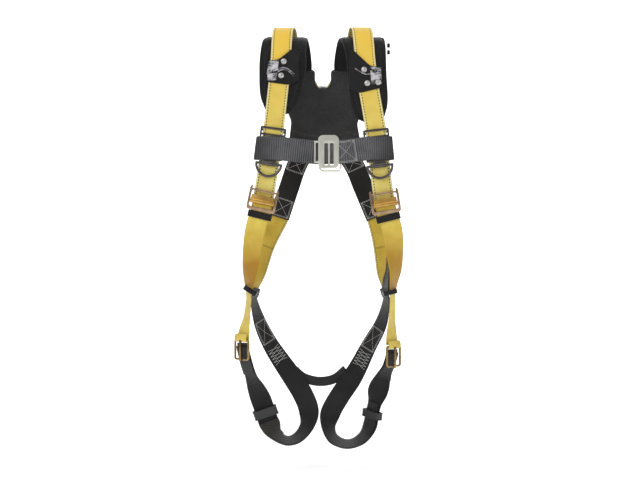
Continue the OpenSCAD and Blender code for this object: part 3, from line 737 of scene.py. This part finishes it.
# --- Metal fittings -----------------------------------------------------------------------
# Pressed and forged steel: the buckles are yellow zinc plated, the chest buckle pale and
# satin, the slides and chest rings dark. Every edge is broken with a small radius.
def plated(name, first, second, rough):
    """Plated steel whose tint drifts, with fine scratches and duller worn patches."""
    metal = Finish(name, {"Metallic": 1.0, "Coat Roughness": 0.2})
    drift = metal.noise(60, 3)
    scratches = metal.noise(420, 4, (1, 1, 0.06))
    scuffs = (metal.noise(170, 5) - 0.55) * 2.0
    metal.vary("Base Color", metal.tint(drift * 1.6 - 0.3, first, second))
    metal.vary("Roughness", rough + scuffs.math("MAXIMUM", 0.0) * 0.25 + scratches * 0.12)
    metal.relief(scratches * 0.5 + metal.noise(1500) * 0.3, 0.04 * mm)
    return metal.material


flat_angle = 1.0
edge_angle = 40
crisp_angle = 32


def machined(node, material, edge=0.45 * mm):
    """The fitting with its flat faces whole and its edges rounded."""
    piece = bpy.data.objects.new(node + "_fitting", frame["nodes"][node].data.copy())
    bpy.context.scene.collection.objects.link(piece)
    form = bmesh.new()
    form.from_mesh(piece.data)
    bmesh.ops.remove_doubles(form, verts=form.verts, dist=0.002 * mm)
    bmesh.ops.dissolve_limit(form, angle_limit=math.radians(flat_angle), verts=form.verts,
                             edges=form.edges)
    form.to_mesh(piece.data)
    form.free()
    rounding = piece.modifiers.new("edges", "BEVEL")
    rounding.width = edge
    rounding.segments = 3
    rounding.limit_method = "ANGLE"
    rounding.angle_limit = math.radians(edge_angle)
    apply_modifiers(piece)
    piece.data.shade_smooth()
    piece.data.set_sharp_from_angle(angle=math.radians(crisp_angle))
    return belongs(piece, material, [node], body_of_node[node])


def apply_modifiers(piece):
    """Replaces a piece's mesh with what its modifiers make of it."""
    bpy.context.view_layer.update()
    shaped = piece.evaluated_get(bpy.context.evaluated_depsgraph_get())
    mesh = bpy.data.meshes.new_from_object(shaped)
    piece.modifiers.clear()
    piece.data = mesh


yellow_zinc = plated("yellow_zinc", rgb(0.62, 0.43, 0.27), rgb(0.32, 0.20, 0.13), 0.16)
brass_zinc = plated("brass_zinc", rgb(0.50, 0.35, 0.15), rgb(0.20, 0.13, 0.06), 0.20)
gold_roller = plated("gold_roller", rgb(0.72, 0.45, 0.12), rgb(0.42, 0.23, 0.06), 0.30)
pale_steel = plated("pale_satin_steel", rgb(0.88, 0.87, 0.78), rgb(0.74, 0.74, 0.66), 0.24)
dark_steel = plated("dark_steel", rgb(0.075, 0.072, 0.070), rgb(0.15, 0.14, 0.13), 0.24)
forged_steel = plated("forged_steel", rgb(0.66, 0.66, 0.65), rgb(0.55, 0.55, 0.56), 0.30)
for side in ("right", "left"):
    machined(side + "_torso_buckle_frame", yellow_zinc)
    machined(side + "_torso_buckle_bar", gold_roller)
    machined(side + "_leg_buckle_frame", brass_zinc)
    machined(side + "_leg_buckle_tongue", brass_zinc)
    machined(side + "_chest_slide", dark_steel, 0.35 * mm)
    machined(side + "_chest_d_ring", dark_steel)
machined("chest_buckle_ring", pale_steel)
machined("chest_buckle_plate", pale_steel, 0.9 * mm)
machined("dorsal_d_ring", forged_steel)
machined("dorsal_plate", dark_steel, 0.6 * mm)

# --- Keepers and hip bands ----------------------------------------------------------------
# Elastic keepers lie under the torso buckles, black webbing bands gather the straps at the
# hips, and moulded plastic keepers hold the loose ends on the leg loops.
def wrapped_band(name, place, turns, inside, depth, tall, wall, ribs=0.0, rim=0.0):
    """A band round a strap: a rounded oblong loop of cloth or plastic."""
    around, up = 72, 11
    path = []
    for k in range(around):
        angle = 2 * math.pi * k / around
        power = 0.22
        x = math.copysign(abs(math.cos(angle)) ** power, math.cos(angle)) * inside / 2
        y = math.copysign(abs(math.sin(angle)) ** power, math.sin(angle)) * depth / 2
        path.append((x, y))
    points, faces = [], []
    for layer in (0, 1):
        for j in range(up):
            f = j / (up - 1)
            bulge = math.sin(math.pi * f) ** 0.5 * 0.25 * wall
            lip = rim if j in (0, 1, up - 2, up - 1) else 0.0
            for k, (x, y) in enumerate(path):
                out = layer * (wall + bulge + lip + ribs * math.sin(k * math.pi / 1.5))
                nx, ny = x / (inside / 2), y / (depth / 2)
                far = max(abs(nx), abs(ny))
                nx, ny = (nx if abs(nx) > 0.92 * far else 0), (ny if abs(ny) > 0.92 * far else 0)
                size = math.hypot(nx, ny)
                points.append(Vector((x + out * nx / size, y + out * ny / size,
                                      (f - 0.5) * tall)))
    def at(layer, j, k):
        return (layer * up + j) * around + k % around
    for k in range(around):
        for j in range(up - 1):
            faces.append((at(1, j, k), at(1, j, k + 1), at(1, j + 1, k + 1), at(1, j + 1, k)))
            faces.append((at(0, j, k), at(0, j + 1, k), at(0, j + 1, k + 1), at(0, j, k + 1)))
        faces.append((at(0, 0, k), at(0, 0, k + 1), at(1, 0, k + 1), at(1, 0, k)))
        faces.append((at(0, up - 1, k), at(1, up - 1, k), at(1, up - 1, k + 1),
                      at(0, up - 1, k + 1)))
    piece = plain_mesh(name, points, faces)
    for axis, degrees in turns:
        piece.data.transform(Matrix.Rotation(math.radians(degrees), 4, axis))
    piece.data.transform(Matrix.Translation(Vector(place) * mm))
    return piece


keeper_plastic = Finish("keeper_plastic", {"Specular IOR Level": 0.5})
moulding = keeper_plastic.noise(700, 3)
keeper_plastic.vary("Base Color", keeper_plastic.tint(moulding, rgb(0.012, 0.012, 0.013),
                                                      rgb(0.026, 0.026, 0.028)))
keeper_plastic.vary("Roughness", 0.38 + moulding * 0.2)
keeper_plastic.relief(moulding, 0.08 * mm)
bands = [
    ("right_torso_keeper", (-138.8, -120.6, -260.5), [("Y", 14)], 50, 6.4, 15, 1.3, black_elastic,
     "elastic", 0.25, 0),
    ("left_torso_keeper", (143.2, -120.6, -266), [("Y", -14)], 50, 6.4, 15, 1.3, black_elastic,
     "elastic", 0.25, 0),
    ("right_hip_loop", (-160, -79, -426), [("Z", 90), ("Y", 32)], 74, 30, 11, 1.3,
     black_webbing, "black_webbing", 0.0, 0),
    ("left_hip_loop", (148, -79, -430), [("Z", 90), ("Y", -14)], 74, 29, 10, 1.3,
     black_webbing, "black_webbing", 0.0, 0),
    ("right_leg_keeper", (-127, -88, -696), [("X", 9), ("Y", -19)], 49, 11, 20, 1.8,
     keeper_plastic.material, "black_plastic", 0.0, 0.8),
    ("left_leg_keeper", (109, -88, -700), [("Y", 9), ("Z", -50)], 49, 13, 16, 1.8,
     keeper_plastic.material, "black_plastic", 0.0, 0.8)]
for node, place, turns, inside, depth, tall, wall, material, slot, ribs, rim in bands:
    piece = wrapped_band(node + "_band", place, turns, inside * mm, depth * mm, tall * mm,
                         wall * mm, ribs * mm, rim * mm)
    belongs(piece, material, [node], body_of_node[node])

# --- Shoulder pads ------------------------------------------------------------------------
# Foam in a black nylon cover, bound round the edge with piping. Each folds over the shoulder,
# from the back pad to a rounded tip on the chest.
right_pad_route = [(x, y, z, 1, 0, 0, wide, thick) for x, y, z, wide, thick in (
    (-71, -25, 62, 92, 11), (-71, -25, 72, 95, 12), (-73, -25, 88, 97, 12),
    (-77, -31, 113, 98, 12), (-80, -45, 127, 98, 12), (-81, -65, 132, 97, 12),
    (-83, -88, 128, 98, 12), (-86, -104, 113, 101, 12), (-88, -110.5, 88, 104, 12),
    (-89, -112, 61, 105, 12), (-94, -112, 13, 94, 12), (-98, -112, -14, 78, 12),
    (-102, -112, -30, 56, 10), (-103, -112, -38, 26, 7))]
left_pad_route = [(x, y, z, 1, 0, 0, wide, thick) for x, y, z, wide, thick in (
    (71, -25, 62, 92, 11), (71, -25, 72, 95, 12), (73, -25, 88, 97, 12), (78, -31, 113, 99, 12),
    (82, -45, 127, 100, 12), (85, -65, 132, 100, 12), (88, -88, 128, 98, 12),
    (92, -104, 113, 94, 12), (95, -110.5, 88, 90, 12), (97, -112, 46, 88, 12),
    (101, -112, -2, 86, 12), (104, -112, -30, 76, 12), (107, -112, -48, 56, 10),
    (106, -112, -59, 26, 7))]


def pad_cloth(name, bright, deep, pitch, hole=0.0, sheen=0.4, rough=0.7):
    """A tight plain weave, or with a hole size an open spacer mesh over foam."""
    cloth = Finish(name, {"Sheen Weight": sheen, "Sheen Roughness": 0.5,
                          "Specular IOR Level": 0.2})
    x, y, z = cloth.parts(cloth.place())
    wave = 2 * math.pi / pitch
    weave = ((x + y * 0.7) * wave).math("SINE") * ((z + y * 0.7) * wave).math("SINE")
    fuzz = cloth.noise(800, 3)
    cloud = cloth.noise(22, 4)
    if hole:
        cells = cloth.node("TexVoronoi", {}, {"Vector": cloth.place(), "Scale": 1 / hole})
        weave = cells.math("SMOOTH_MIN", 0.5, 0.1) * 2
    tone = weave * 0.3 + (cloud - 0.5) * 0.8 + (fuzz - 0.5) * 0.4 + 0.5
    cloth.vary("Base Color", cloth.tint(tone, deep, bright))
    cloth.vary("Roughness", rough + (fuzz - 0.5) * 0.2)
    cloth.relief(weave * 0.7 + fuzz * 0.5, 0.3 * mm)
    return cloth.material


nylon = pad_cloth("pad_nylon", rgb(0.012, 0.012, 0.012), rgb(0.003, 0.003, 0.003), 1.3 * mm,
                  sheen=0.04, rough=0.5)
piping_cloth = pad_cloth("pad_piping", rgb(0.026, 0.026, 0.027), rgb(0.007, 0.007, 0.008),
                         0.9 * mm, sheen=0.03, rough=0.5)


last_frame = 20


def remeshed(name, points, faces, voxel):
    piece = plain_mesh(name, points, faces)
    remesh = piece.modifiers.new("remesh", "REMESH")
    remesh.mode = "VOXEL"
    remesh.voxel_size = voxel
    apply_modifiers(piece)
    return piece


def swollen(name, points, faces, voxel, cap):
    """A cushion: the closed cover is remeshed, blown up a little as cloth, and smoothed.
    The pull of the pressure may not draw its edges in."""
    piece = remeshed(name, points, faces, voxel)
    rest = np.array([v.co for v in piece.data.vertices])
    cloth = piece.modifiers.new("cover", "CLOTH")
    cloth.settings.use_pressure = True
    cloth.settings.uniform_pressure_force = 4.0
    cloth.settings.effector_weights.gravity = 0.0
    cloth.settings.quality = 4
    cloth.point_cache.frame_start = 1
    cloth.point_cache.frame_end = last_frame
    for step in range(1, last_frame + 1):
        bpy.context.scene.frame_set(step)
    blown = piece.evaluated_get(bpy.context.evaluated_depsgraph_get()).to_mesh()
    moved = np.array([v.co for v in blown.vertices]) - rest
    piece.modifiers.clear()
    bpy.context.scene.frame_set(1)
    outward = np.array([v.normal for v in piece.data.vertices])
    moved -= outward * (moved * outward).sum(1)[:, None].clip(max=0)
    size = np.linalg.norm(moved, axis=1, keepdims=True)
    rest += moved * np.minimum(1, cap / np.maximum(size, 1e-9))
    piece.data.vertices.foreach_set("co", rest.astype(np.float32).ravel())
    smooth = piece.modifiers.new("smooth", "SUBSURF")
    smooth.levels = smooth.render_levels = 1
    apply_modifiers(piece)
    piece.data.shade_smooth()
    return piece


def loft(route, thinner, narrower):
    """A closed tube of eight-sided sections along a pad's route."""
    line = through(route, 6)
    centre, across, out = framed(line)
    half_wide = (line[:, 6] * mm - narrower)[:, None] / 2
    half_thick = (line[:, 7] * mm - thinner)[:, None] / 2
    profile = [(-1, -0.3), (-0.9, -1), (0.9, -1), (1, -0.3), (1, 0.3), (0.9, 1), (-0.9, 1),
               (-1, 0.3)]
    rings = [centre + across * c * half_wide + out * h * half_thick for c, h in profile]
    points = np.stack(rings, 1).reshape(-1, 3)
    edge = half_wide - 1.6 * mm
    rim = np.concatenate([centre - across * edge, (centre + across * edge)[::-1]])
    return points, tube(len(line), len(profile), inward=True), rim


def piping(name, path, radius, material, body, closed=False, sides=10):
    """A round corded edge along a path."""
    path = np.array(path)[:, :3]
    if closed:
        path = np.vstack([path, path[:1]])
    run = distances(path)
    count = max(8, int(run[-1] / (2.5 * mm)))
    fine = sampled(np.linspace(0, run[-1], count), run, path)
    for _ in range(6):
        fine[1:-1] = (fine[:-2] + 2 * fine[1:-1] + fine[2:]) / 4
    tangent = unit(np.gradient(fine, axis=0))
    side = unit(np.cross(tangent, np.array([0.02, 1.0, 0.03])))
    up = np.cross(side, tangent)
    angles = 2 * math.pi * np.arange(sides) / sides
    rings = (fine[:, None] + radius * (side[:, None] * np.cos(angles)[None, :, None]
                                       + up[:, None] * np.sin(angles)[None, :, None]))
    piece = plain_mesh(name, rings.reshape(-1, 3), tube(count, sides))
    return belongs(piece, material, (), body)


front = np.array((0.0, -1.0, 0.0))


def groove_and_sew(piece, name, path, depth, reach, material, body):
    """Pulls a sewn line into a cushion's front face, and lays the stitches in it."""
    path = np.array(path)
    co = np.array([v.co for v in piece.data.vertices])
    normals = np.array([v.normal for v in piece.data.vertices])
    run = distances(path)
    fine = sampled(np.arange(0, run[-1], 1.5 * mm), run, path)
    for i in np.flatnonzero(normals @ front > 0.3):
        flat = fine - co[i]
        flat -= (flat @ front)[:, None] * front
        near = np.linalg.norm(flat, axis=1).min()
        if near < reach:
            co[i] -= normals[i] * depth * (1 - (near / reach) ** 2) ** 2
    piece.data.vertices.foreach_set("co", co.astype(np.float32).ravel())
    piece.data.update()
    surface = BVHTree.FromPolygons([v.co for v in piece.data.vertices],
                                   [p.vertices[:] for p in piece.data.polygons])
    pitch = stitch_length + stitch_gap
    stitches = []
    for s in np.arange(0, run[-1] - pitch, pitch):
        ends = []
        for f in (0.1, 0.9):
            spot = sampled(s + f * pitch, run, path)
            hit = surface.ray_cast(Vector(spot + front * 0.05), Vector(-front))
            if hit[0] is not None:
                ends.append((np.array(hit[0]), np.array(hit[1])))
        if len(ends) == 2 and np.linalg.norm(ends[0][0] - ends[1][0]) < 3 * pitch:
            stitches.append((ends[0][0], ends[1][0], ends[0][1]))
    sewn(name, stitches, material, body, 0.4 * mm)


pad_tuck = 12
pad_slack = 2.4 * mm
seam_inset = 13 * mm
for side, route in (("right", right_pad_route), ("left", left_pad_route)):
    x, y, z, *rest = route[0]
    points, faces, rim = loft([(x, y, z - pad_tuck, *rest)] + route, 3.4 * mm, 4 * mm)
    pad = swollen(side + "_shoulder_cushion", points, faces, 5 * mm, pad_slack)
    belongs(pad, nylon, [side + "_shoulder_pad"], "harness")
    piping(side + "_shoulder_piping", rim, 2.5 * mm, piping_cloth, "harness")
    chest_part = through(route, 6)
    chest_part = chest_part[chest_part[:, 1] < -0.108]
    for c in (-1, 1):
        inset = chest_part[:, :3].copy()
        inset[:, 0] += c * (chest_part[:, 6] * mm / 2 - seam_inset).clip(4 * mm)
        groove_and_sew(pad, f"{side}_shoulder_seam_{'outer' if c < 0 else 'inner'}", inset,
                       1.0 * mm, 5 * mm, black_thread, "harness")

# --- Lanyard loops on the left pad --------------------------------------------------------
# Two small loops of black elastic sewn to the outer edge of the left pad hold a lanyard end.
for number, height in enumerate((113, 98)):
    piece = wrapped_band(f"left_pad_loop_{number}", (144, -112, height), [], 3.4 * mm,
                         5.4 * mm, 9 * mm, 1.1 * mm, 0.12 * mm)
    belongs(piece, black_elastic, ["left_pad_tabs"] if number == 0 else (),
            "harness")

# --- Back pad -----------------------------------------------------------------------------
# A broad pad of spacer mesh over foam, cut to a V at the neck, bound with piping and sewn
# across in one curved seam.
back_pad_outline = [
    (-70, -134), (70, -134), (84, -116), (85, -92), (78, -54), (96, 0), (114, 60), (19, 60),
    (17, 44), (15, 33), (11, 27), (-11, 27), (-15, 33), (-17, 44), (-19, 60), (-114, 60),
    (-92, 0), (-72, -48), (-77, -92), (-78, -116)]
mesh_cloth = pad_cloth("spacer_mesh", rgb(0.050, 0.050, 0.052), rgb(0.003, 0.003, 0.003),
                       2.0 * mm, hole=4.4 * mm, sheen=0.2, rough=0.40)
pad_middle = -25 * mm
pad_half = 4.2 * mm


def slab(outline, middle, half, inset):
    """A closed slab with a given outline in x and z, drawn in by inset."""
    ring = np.array(outline, float) * mm
    step = np.roll(ring, -1, 0) - np.roll(ring, 1, 0)
    inward = unit(np.stack([-step[:, 1], step[:, 0]], -1))
    turned = (ring[:, 0] * np.roll(ring[:, 1], -1) - np.roll(ring[:, 0], -1) * ring[:, 1]).sum()
    ring = ring + inward * inset * (1 if turned > 0 else -1)
    count = len(ring)
    points = [(x, middle - half, z) for x, z in ring] + [(x, middle + half, z) for x, z in ring]
    faces = [tuple(range(count)), tuple(range(2 * count - 1, count - 1, -1))]
    faces += [(k, k + count, (k + 1) % count + count, (k + 1) % count) for k in range(count)]
    return points, faces, ring


ear_height = 60
ear_tuck = 9
tucked = [(x, z + ear_tuck if z == ear_height else z) for x, z in back_pad_outline]
points, faces, ring = slab(tucked, pad_middle, pad_half, 2 * mm)
back_cushion = swollen("back_cushion", points, faces, 4 * mm, 2.6 * mm)
belongs(back_cushion, mesh_cloth, ["back_pad"], "harness")
rim = [(x, pad_middle, z) for x, z in slab(tucked, pad_middle, pad_half, 3.6 * mm)[2]]
piping("back_pad_piping", rim, 2.6 * mm, piping_cloth, "harness", closed=True)
smile = [(x, pad_middle, -88 * mm + 14 * mm * (x / (70 * mm)) ** 2)
         for x in np.linspace(-68, 68, 40) * mm]
groove_and_sew(back_cushion, "back_pad_seam", smile, 3.4 * mm, 9 * mm, charcoal_thread,
               "harness")

# --- Pad flaps and press studs ------------------------------------------------------------
# A cloth flap sewn to each pad's inner side closes over the shoulder strap. It has a clear
# glossy window where it crosses the strap, and nickel press studs.
right_flap_outline = [
    (-53, 38), (-53, 99), (-67, 105), (-96, 81), (-121, 77), (-125, 33), (-75, 26)]
left_flap_outline = [
    (57, 20), (59, 92), (64, 103), (104, 66), (127, 64), (129, 20), (79, 8)]
right_studs = [(-86, 77), (-92, 46)]
left_studs = [(90, 59), (97, 29), (121, 31)]
flap_middle = -123.7 * mm
flap_cloth = pad_cloth("flap_cloth", rgb(0.012, 0.011, 0.011), rgb(0.003, 0.003, 0.003),
                       1.1 * mm, sheen=0.08, rough=0.3)
clear_vinyl = Finish("clear_vinyl", {"Coat Roughness": 0.05, "IOR": 1.5,
                                     "Specular IOR Level": 0.9})
crinkle = clear_vinyl.noise(60, 2, (1, 1, 1.8))
# The pale, more opaque patches on the vinyl are painted reflections of its crinkles.
painted_reflections = ((crinkle - 0.40) * 5).clamped()
clear_vinyl.vary("Base Color", clear_vinyl.tint(painted_reflections, rgb(0.10, 0.10, 0.11),
                                                rgb(0.60, 0.58, 0.62)))
clear_vinyl.vary("Alpha", painted_reflections * 0.45 + 0.45)
clear_vinyl.vary("Roughness", 0.08 + crinkle * 0.12)
clear_vinyl.vary("Coat Weight", crinkle * 0.5 + 0.5)
clear_vinyl.relief(crinkle + clear_vinyl.noise(160, 2) * 0.4, 3.0 * mm)
nickel = plated("stud_nickel", rgb(0.66, 0.64, 0.62), rgb(0.45, 0.43, 0.42), 0.22)
stud_outline = [(0, 2.3), (1.8, 2.25), (3.4, 1.9), (4.3, 1.2), (4.5, 0.9), (5.2, 1.5),
                (5.8, 1.6), (6.2, 1.1), (6.2, 0.0), (0, 0.0)]


def turned_studs(name, places, face_depth):
    """Domed press studs, each a profile turned about its own axis, facing forward."""
    sides = 40
    points, faces = [], []
    for x, z in places:
        base = len(points)
        for k in range(sides):
            angle = 2 * math.pi * k / sides
            for r, h in stud_outline:
                points.append((x * mm + r * mm * math.cos(angle), face_depth - h * mm,
                               z * mm + r * mm * math.sin(angle)))
        rows = len(stud_outline)
        for k in range(sides):
            for j in range(rows - 1):
                a, b = base + k * rows + j, base + (k + 1) % sides * rows + j
                faces.append((a, a + 1, b + 1, b))
    piece = plain_mesh(name, points, faces)
    form = bmesh.new()
    form.from_mesh(piece.data)
    bmesh.ops.remove_doubles(form, verts=form.verts, dist=0.01 * mm)
    bmesh.ops.recalc_face_normals(form, faces=form.faces)
    form.to_mesh(piece.data)
    form.free()
    return piece


def window(name, corners, depth, drape):
    """A crinkled sheet of clear vinyl between four corners in x and z, top left first."""
    across, up = 40, 40
    top_left, top_right, low_right, low_left = (np.array(c) * mm for c in corners)
    points, faces = [], []
    for layer in (0.0, 0.4 * mm):
        for j in range(up):
            for k in range(across):
                f, g = k / (across - 1), j / (up - 1)
                x, z = ((1 - g) * ((1 - f) * low_left + f * low_right)
                        + g * ((1 - f) * top_left + f * top_right))
                fold = math.sin(9.0 * (g + 0.35 * math.sin(2.4 * f + 1)) + 2.6 * f)
                ripple = 0.3 * math.sin(23 * f - 11 * g)
                edge = min(1.0, 6 * f, 6 * (1 - f), 6 * g, 6 * (1 - g))
                points.append((x, depth - layer - (0.6 * mm + drape * (fold + ripple)) * edge, z))
    layer_size = across * up
    for j in range(up - 1):
        for k in range(across - 1):
            a = j * across + k
            outer = tuple(v + layer_size for v in (a, a + 1, a + across + 1, a + across))
            faces += [(a, a + across, a + across + 1, a + 1), outer]
    border = (list(range(across)) + [j * across + across - 1 for j in range(1, up)]
              + [(up - 1) * across + k for k in range(across - 2, -1, -1)]
              + [j * across for j in range(up - 2, 0, -1)])
    for a, b in zip(border, border[1:] + border[:1]):
        faces.append((a, b, b + layer_size, a + layer_size))
    return plain_mesh(name, points, faces)


right_windows = [[(-118, 78), (-97, 79), (-99, 58), (-124, 50)],
                 [(-122, 50), (-100, 52), (-103, 36), (-121, 34)]]
left_windows = [[(103, 65), (127, 64), (129, 28), (106, 27)]]
right_folds = [[(-102, 57), (-90, 64), (-77, 61), (-63, 49)],
               [(-99, 54), (-89, 60), (-77, 57), (-63, 44)]]
left_folds = [[(70, 62), (82, 54), (94, 48), (104, 50)]]
for side, outline, places, windows, folds in (
        ("right", right_flap_outline, right_studs, right_windows, right_folds),
        ("left", left_flap_outline, left_studs, left_windows, left_folds)):
    body = side + "_flap"
    points, faces, ring = slab(outline, flap_middle, 0.8 * mm, 0.4 * mm)
    flap = remeshed(side + "_flap_cloth", points, faces, 1.0 * mm)
    for v in flap.data.vertices:
        if v.co.y < flap_middle:
            v.co.y -= 0.35 * mm * (1 + math.sin(v.co.x / (7 * mm) + v.co.z / (5 * mm)))
    flap.data.shade_smooth()
    belongs(flap, flap_cloth, [side + "_pad_flap"], body)
    edge = [(x, flap_middle - 0.2 * mm, z) for x, z in ring]
    piping(side + "_flap_binding", edge, 1.1 * mm, flap_cloth, body,
           closed=True, sides=8)
    for number, corners in enumerate(windows):
        belongs(window(f"{side}_flap_window_{number}", corners, flap_middle - 1.1 * mm,
                       0.8 * mm), clear_vinyl.material, (), body)
    for number, path in enumerate(folds):
        crease = through([(x, flap_middle / mm - 1.1, z) for x, z in path], 8)
        piping(f"{side}_flap_fold_{number}", crease, 1.0 * mm, clear_vinyl.material,
               body, sides=8)
    belongs(turned_studs(side + "_flap_stud_caps", places, flap_middle - 1.2 * mm), nickel,
            [side + "_flap_studs"], body)
